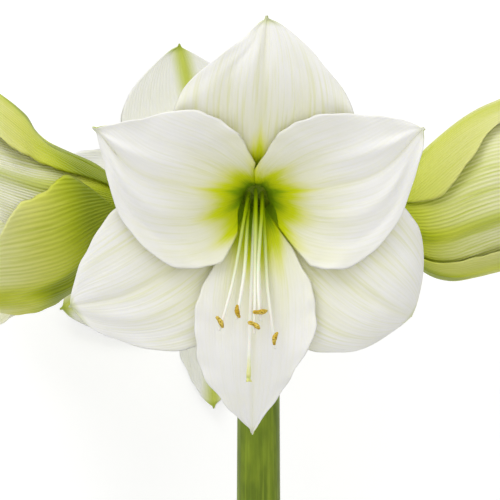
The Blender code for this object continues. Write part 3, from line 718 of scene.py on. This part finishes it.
def filamentMaterial(name, endColourAndShade):
    finish = filamentFinish
    material, tree, shader = newMaterial(name, finish)
    place, lengthwise = uvParts(tree, "round")[::2]
    ripple = noise(tree, place, 3, 2, (4, 20, 1))
    rising = scaled(tree, ripple, 0.08, lengthwise)
    colour = blend(tree, rise(tree, rising, *finish["green"]), finish["base"], finish["shaft"])
    # past endFrom: the stigma's own colour on the style, painted shade on the filament's tip
    colour = blend(tree, rise(tree, rising, *finish["endFrom"]), colour, endColourAndShade)
    finishMaterial(tree, shader, colour, ripple, 0.3, 0.0001)
    return material


def pollenMaterial():
    # grains under a millimetre apart, coarser than real pollen so that they show
    finish = pollenFinish
    material, tree, shader = newMaterial("pollen on open anther", finish)
    grains = noise(tree, objectPlace(tree), finish["grain"], 4)
    patches = noise(tree, objectPlace(tree), 260, 2, (1, 1, 1), 2)
    colour = blend(tree, rise(tree, patches, 0.35, 0.6), finish["middle"], finish["light"])
    colour = blend(tree, rise(tree, grains, 0.35, 0.55), finish["dark"], colour)
    finishMaterial(tree, shader, colour, grains, 0.9, finish["grainHeight"])
    return material


# Bract, dried on the plant: thin as paper, brown veins over tan.
bractFinish = {
    "roughness": 0.7, "specular": 0.25, "subsurface": 0.1, "depth": 0.001, "veinHeight": 0.0006,
    "paper": "#cdb98a", "vein": "#8a6d3c", "base": "#8f8f48",
}


def bractMaterial():
    finish = bractFinish
    material, tree, shader = newMaterial("dried papery bract", finish)
    place, lengthwise = uvParts(tree, "shares")[::2]
    veins = noise(tree, place, 1, 4, (12, 1.2, 1), 6)
    colour = blend(tree, rise(tree, veins, 0.45, 0.62), finish["paper"], finish["vein"])
    colour = blend(tree, rise(tree, lengthwise, 0, 0.3), finish["base"], colour)
    finishMaterial(tree, shader, colour, veins, 0.8, finish["veinHeight"])
    return material


petalMaterials = {}
for kind, whorl, inside, outside, shift in (
        ("white", "outer", veinedInside, whiteOutside, 8),
        ("white", "inner", whiteInside, whiteOutside, 0),
        ("green", "outer", greenInside, greenOutside, 6),
        ("green", "inner", greenInside, creamOutside, 0),
        ("pale", "outer", greenInside, paleOutside, 3),
        ("pale", "inner", greenInside, ribbedOutside, 1)):
    petalMaterials[kind, whorl] = [
        petalMaterial(f"{kind} {whorl} petal, inside", inside, shift, 1.3 + shift),
        petalMaterial(f"{kind} {whorl} petal, outside", outside, shift, 2.9 + shift)]
pedicelMaterial = stalkMaterial("pedicel and ovary skin", pedicelTones)
scapeMaterial = stalkMaterial("waxy scape skin", scapeTones)
filamentSkin = filamentMaterial("filament skin", filamentFinish["end"])
styleSkin = filamentMaterial("style and stigma skin", filamentFinish["stigma"])
pollen = pollenMaterial()
paper = bractMaterial()
print("materials made")

petalKinds = {"front": "white", "rear": "white", "left": "green", "right": "pale"}


def addTepals(name, flower):
    kind = petalKinds[name]
    for whorl, layer in (("outer", flower["layer"]), ("inner", 0)):
        for number, tepal in enumerate(flower[whorl], start=1):
            points, maps = tepalMiddle(flower, tepal, layer)
            shape = sheetShape(points, petalShape["thickness"], maps)
            addPiece(f"{name}_{whorl}_petal_{number}", f"{name}_{whorl}_tepal_{number}", [shape],
                     petalMaterials[kind, whorl], ["millimetres", "veins", "rim"])


# Stamens: the filament droops with its flower, turns up at its end and carries the anther across it.
stamenShape = {
    "filamentRadius": 0.8, "ring": 3.6, "radii": (1.2, 1.2, 1, 0.95, 0.8, 0.35),
    "antherLength": 6.4, "antherRadius": 1.3, "antherLift": 0.8, "bow": 0.8,
    "filamentSides": 14, "filamentRows": 60, "antherSides": 20, "antherRows": 28,
}
styleShape = {
    "radius": 0.85, "sides": 16, "rows": 70,
    "lobeLength": 3, "lobeRadius": 0.85, "lobeSides": 12, "lobeRows": 18, "spread": 0.4,
}


def antherShape(flower, place, lean, bow):
    # a short bowed tube with blunt ends and two lobes, furrowed along:
    # radius (1 + 0.26 cos 2a + 0.05 cos(7a + 12 share))
    right, up, facing = flowerAxes(flower)
    lean = math.radians(lean)
    along = right * math.cos(lean) + up * math.sin(lean)
    aside = np.cross(facing, along)
    t = np.linspace(-1, 1, stamenShape["antherRows"])
    half = stamenShape["antherLength"] / 2
    line = inFlower(flower, place) + (t * half)[:, None] * along - (bow * t ** 2)[:, None] * aside
    radii = stamenShape["antherRadius"] * (1 - np.abs(t) ** 3.5) ** 0.5
    radii = radii * (1 + 0.12 * np.sin(5 * t + lean))
    swell = lambda share, angle: 1 + 0.26 * np.cos(2 * angle) + 0.05 * np.cos(7 * angle + 12 * share)
    return tubeShape(line, radii, stamenShape["antherSides"], 1, swell)


def addStamen(name, flower, number, place, lean):
    # out of the tube, then by shares of the way right, up and forward to the anther
    azimuth = math.radians(150 - 60 * number)
    out = np.array([math.cos(azimuth), math.sin(azimuth), 0]) * stamenShape["ring"]
    end = np.array(place, float)
    line = [out + (0, 0, plant["tubeFloor"]), out + (0, 0, plant["tubeEnd"]),
            out * (0.7, 0.8, 0) + end * (0.2, 0.16, 0.38), end * (0.62, 0.62, 0.78),
            end * (1, 1.07, 0.97), end]
    t = np.linspace(0, 1, stamenShape["filamentRows"])
    radii = smoothThrough(stamenShape["radii"], t) * stamenShape["filamentRadius"]
    line = smoothThrough(inFlower(flower, line), t)
    filament = tubeShape(line, radii, stamenShape["filamentSides"])
    # every second anther bows the other way, a little less
    bow = stamenShape["bow"] * (1 if number % 2 else -0.7)
    anther = antherShape(flower, end + (0, 0, stamenShape["antherLift"]), lean, bow)
    node = f"{name}_stamen_{number + 1}"
    addPiece(f"{node}_with_anther", node,
             [filament, anther], [filamentSkin, pollen], ["round"])


def addStyle(name, flower):
    # the style's line, then three lobes that leave its end at 120 degrees from one another
    end = np.array(flower["stigma"], float)
    line = [(0, 0, plant["tubeFloor"]), (0, 0, plant["tubeEnd"]),
            end * (0.3, 0.14, 0.42), end * (0.7, 0.55, 0.86), end]
    t = np.linspace(0, 1, styleShape["rows"])
    line = smoothThrough(inFlower(flower, line), t)
    radii = styleShape["radius"] * (1.15 - 0.15 * softStep(t, 0, 0.3) + 0.25 * softStep(t, 0.93, 1))
    shapes = [tubeShape(line, radii, styleShape["sides"])]
    ahead = unitRows(line[-1] - line[-4])
    sideways = unitRows(np.cross(ahead, flowerAxes(flower)[0]))
    s = np.linspace(0, 1, styleShape["lobeRows"])[:, None]
    reach = styleShape["lobeLength"] * s
    for turn in (0.3, 0.3 + 2 * math.pi / 3, 0.3 + 4 * math.pi / 3):
        outward = math.cos(turn) * sideways + math.sin(turn) * np.cross(ahead, sideways)
        lobe = line[-1] + reach * ahead * (1 - 0.35 * s)
        lobe = lobe + reach * outward * styleShape["spread"] * (0.4 + s)
        radii = styleShape["lobeRadius"] * (1 - 0.9 * s[:, 0] ** 2)
        shape = tubeShape(lobe, radii, styleShape["lobeSides"])
        # all of the lobe has the colour of the style's end
        shape["uv"] = [shape["uv"][0] * (1, 0) + (0, 1)]
        shapes.append(shape)
    addPiece(f"{name}_style_with_stigma", f"{name}_style", shapes, [styleSkin], ["round"])


# Pedicel, ovary and tube: radii along the line from the scape to the tepals.
pedicelShape = {
    "radii": (3.4, 3.4, 3.4, 3.74, 6.2, 4.96, 8.2, 7.4), "sides": 60, "rows": 110,
    "foot": -0.5,  # from the scape's top
    "ovary": -24, "neck": -10, "lip": -0.6,  # along the flower's axis, from its rim
    "ovaryLobes": 0.1, "ribs": 0.012, "ribCount": 18,
}


def addPedicel(name, flower, across, forward):
    ring = plant["pedicelRing"]
    start = np.array([across * ring, plant["scapeTop"] + pedicelShape["foot"], forward * ring], float)
    turn = start + np.array([across, 0, forward]) * 5 + (0, 13, 0)
    heights = pedicelShape["ovary"], pedicelShape["neck"], plant["tubeEnd"], pedicelShape["lip"]
    ovary, *tube = inFlower(flower, [(0, 0, height) for height in heights])
    line = [start, start + (0, 5, 0), turn, (turn + ovary) / 2 + (0, 4, 0), ovary, *tube]
    t = np.linspace(0, 1, pedicelShape["rows"])

    def lobed(share, angle):
        # three rounded lobes where the ovary is, 4/7 of the way, and faint ribs all along
        lobes = pedicelShape["ovaryLobes"] * hill(share, 4 / 7, 0.1) * np.cos(3 * angle)
        return 1 + lobes + pedicelShape["ribs"] * np.cos(pedicelShape["ribCount"] * angle)

    radii = smoothThrough(pedicelShape["radii"], t)
    shape = tubeShape(smoothThrough(line, t), radii, pedicelShape["sides"], 0, lobed)
    addPiece(f"{name}_pedicel_and_ovary", f"{name}_pedicel",
             [shape], [pedicelMaterial], ["round"])


feet = {"front": (0, 1), "right": (1, 0), "rear": (0, -1), "left": (-1, 0)}
for name, flower in flowers.items():
    addPedicel(name, flower, *feet[name])
    addTepals(name, flower)
    for number, (*place, lean) in enumerate(flower["anthers"]):
        addStamen(name, flower, number, place, lean)
    addStyle(name, flower)
    print(name, "flower made")

scapeShape = {
    "sides": 120, "rows": 140, "bevel": 1.5, "cutBevel": 0.3, "hollowDome": 5,
    "ribs": 0.006, "ribCount": 22, "ribsFull": 12, "ribRadius": (9, 9.9),
}


def addScape():
    # A profile turned round the plant's y: over the top, down the side, across the cut and up into
    # the hollow. Ribs: radius (1 + 0.003 (cos 22a - 1)), which fade out at the top and on the cut.
    foot, top, bevel = -plant["scapeLength"], plant["scapeTop"], scapeShape["bevel"]
    topRadius, footRadius = plant["scapeTopRadius"], plant["scapeFootRadius"]
    hollow, hollowTop = plant["hollowRadius"], foot + plant["hollowDepth"]
    cutBevel, dome = scapeShape["cutBevel"], scapeShape["hollowDome"]
    t = np.linspace(0, 1, scapeShape["rows"])
    corner = np.linspace(0, math.pi / 2, 7)[:-1]
    # radius, height and the number of the material
    parts = [(np.linspace(0, topRadius - bevel, 8)[:-1], top, 0),
             (topRadius - bevel + bevel * np.sin(corner), top - bevel + bevel * np.cos(corner), 0),
             (topRadius + (footRadius - topRadius) * t,
              top - bevel + (foot + cutBevel - top + bevel) * t, 0),
             (np.linspace(footRadius - cutBevel, hollow, 10), foot, 1),
             (hollow, np.linspace(foot, hollowTop, 13)[1:], 2),
             (hollow * np.cos(corner), hollowTop + dome * np.sin(corner), 2),
             ([0], hollowTop + dome, 2)]
    profile = np.concatenate([joined(*part) for part in parts])
    radius, height, skin = profile[:, :1], profile[:, 1:2], profile[1:, 2]
    angle = np.linspace(0, 2 * math.pi, scapeShape["sides"] + 1)[None, :]
    ribbed = softStep(-height, bevel - top, scapeShape["ribsFull"])
    ribbed = ribbed * softStep(radius, *scapeShape["ribRadius"]) * scapeShape["ribs"]
    radius = radius * (1 + ribbed * (np.cos(scapeShape["ribCount"] * angle) - 1) * 0.5)
    points = joined(radius * np.cos(angle), height, radius * np.sin(angle))
    uv = joined(angle / (2 * math.pi), -height / 100)
    faces = quadsOf(np.arange(radius.size).reshape(radius.shape))[:, ::-1]
    shape = {"points": points.reshape(-1, 3), "faces": faces, "uv": [uv.reshape(-1, 2)],
             "slots": np.repeat(skin, scapeShape["sides"])}
    addPiece("scape_stalk", "scape", [shape], [
        scapeMaterial, cutMaterial("wet cut flesh", cutFinish["flesh"], cutFinish["rim"]),
        cutMaterial("dry white pith", cutFinish["pith"], cutFinish["flesh"])], ["round"])


bractShape = {
    "length": 58, "width": 15, "thickness": 0.4, "rows": 70, "columns": 30,
    "line": [(0.7, 0), (4, -0.12), (8, -0.4), (6, -0.72), (9, -1)],  # mm out, share of the length
    "widths": (0.42, 0.5, 0.46, 0.3, 0),
    "drop": 2, "twist": 0.25, "folds": 0.5, "curl": 0.8,
}


def addBract(name, side):
    # from the scape's top it stands off, hangs down along the scape and curls lengthwise as it dried:
    # azimuth = side + across half width / radius + twist share^2
    share = np.linspace(0, 1, bractShape["rows"])[:, None]
    across = np.linspace(-1, 1, bractShape["columns"])[None, :]
    line = np.array(bractShape["line"]) * (1, bractShape["length"])
    line = line + (plant["scapeTopRadius"], plant["scapeTop"] - bractShape["drop"])
    radius, height = np.moveaxis(smoothThrough(line, share), -1, 0)
    half = smoothThrough(bractShape["widths"], share) * bractShape["width"]
    azimuth = side + across * half / radius + bractShape["twist"] * share ** 2
    folds = bractShape["folds"] * np.sin(9 * across + 4 * share) + bractShape["curl"] * across ** 2
    out = radius + folds * softStep(share, 0.05, 0.4)
    points = joined(out * np.cos(azimuth), height, out * np.sin(azimuth))
    shape = sheetShape(points, bractShape["thickness"], [joined(across, share)])
    addPiece(f"{name}_papery", name, [shape], [paper, paper], ["shares"])


addScape()
addBract("left_bract", math.radians(230))
addBract("right_bract", math.radians(-50))
print("scape and bracts made")

stageLook = {
    "floorSize": 8, "floorDiffuse": 0.5, "floorGlow": 0.6, "ambient": 0.86,
    # the key light stands so many metres from the flowers, and looks at this place on them in mm
    "keyPower": 18, "keySize": 1.4, "keyPlace": (-0.8, 1.6, 1.3), "keyTarget": (0, 10, 60),
    "cameraDistance": 1.6, "lens": 236.2, "sensor": 36, "cameraRight": -0.00415,
}


def emptyTree(holder):
    holder.use_nodes = True
    holder.node_tree.nodes.clear()
    return holder.node_tree


def whiteLight(tree, kind, strength):
    return addNode(tree, kind, {"Color": (1, 1, 1, 1), "Strength": strength})[0]


def seenRays(tree):
    # 1 for rays that come from the camera, from a mirror or through something clear
    path = addNode(tree, "ShaderNodeLightPath")
    seen = calculate(tree, "MAXIMUM", path["Is Camera Ray"], path["Is Glossy Ray"])
    return calculate(tree, "MAXIMUM", seen, path["Is Transmission Ray"])


def addFloor():
    half = stageLook["floorSize"] / 2
    corners = [(-half, -half, 0), (half, -half, 0), (half, half, 0), (-half, half, 0)]
    mesh = bpy.data.meshes.new("floor")
    mesh.from_pydata(corners, [], [(0, 1, 2, 3)])
    material = bpy.data.materials.new("white paper floor")
    tree = emptyTree(material)
    grey = (*[stageLook["floorDiffuse"]] * 3, 1)
    diffuse = addNode(tree, "ShaderNodeBsdfDiffuse", {"Color": grey})[0]
    strength = product(tree, seenRays(tree), stageLook["floorGlow"])
    glow = whiteLight(tree, "ShaderNodeEmission", strength)
    both = addNode(tree, "ShaderNodeAddShader", {0: diffuse, 1: glow})[0]
    addNode(tree, "ShaderNodeOutputMaterial", {"Surface": both})
    mesh.materials.append(material)
    floor = addObject("floor", mesh)


def addLights():
    world = bpy.data.worlds.new("white studio")
    bpy.context.scene.world = world
    tree = emptyTree(world)
    strength = scaled(tree, seenRays(tree), 1 - stageLook["ambient"], stageLook["ambient"])
    background = whiteLight(tree, "ShaderNodeBackground", strength)
    addNode(tree, "ShaderNodeOutputWorld", {"Surface": background})
    target = Vector(laidDown(stageLook["keyTarget"]))
    lamp = bpy.data.lights.new("key softbox", "AREA")
    lamp.shape, lamp.size, lamp.energy = "DISK", stageLook["keySize"], stageLook["keyPower"]
    key = addObject("key softbox", lamp)
    key.location = target + Vector(stageLook["keyPlace"])
    key.rotation_euler = (target - key.location).to_track_quat("-Z", "Y").to_euler()


def addCamera():
    # looks down on the lying plant along its own front axis
    camera = bpy.data.cameras.new("camera")
    camera.lens, camera.sensor_width = stageLook["lens"], stageLook["sensor"]
    eye = addObject("camera", camera)
    middle = Vector(laidDown([0, 0, 0])) + Vector(tilt[:, 0]) * stageLook["cameraRight"]
    eye.location = middle + Vector(tilt[:, 2]) * stageLook["cameraDistance"]
    eye.rotation_euler = (lyingAngle, 0, 0)
    bpy.context.scene.camera = eye


addFloor()
addLights()
addCamera()
bpy.context.scene.view_settings.view_transform = "Standard"
print("stage, lights and camera set")
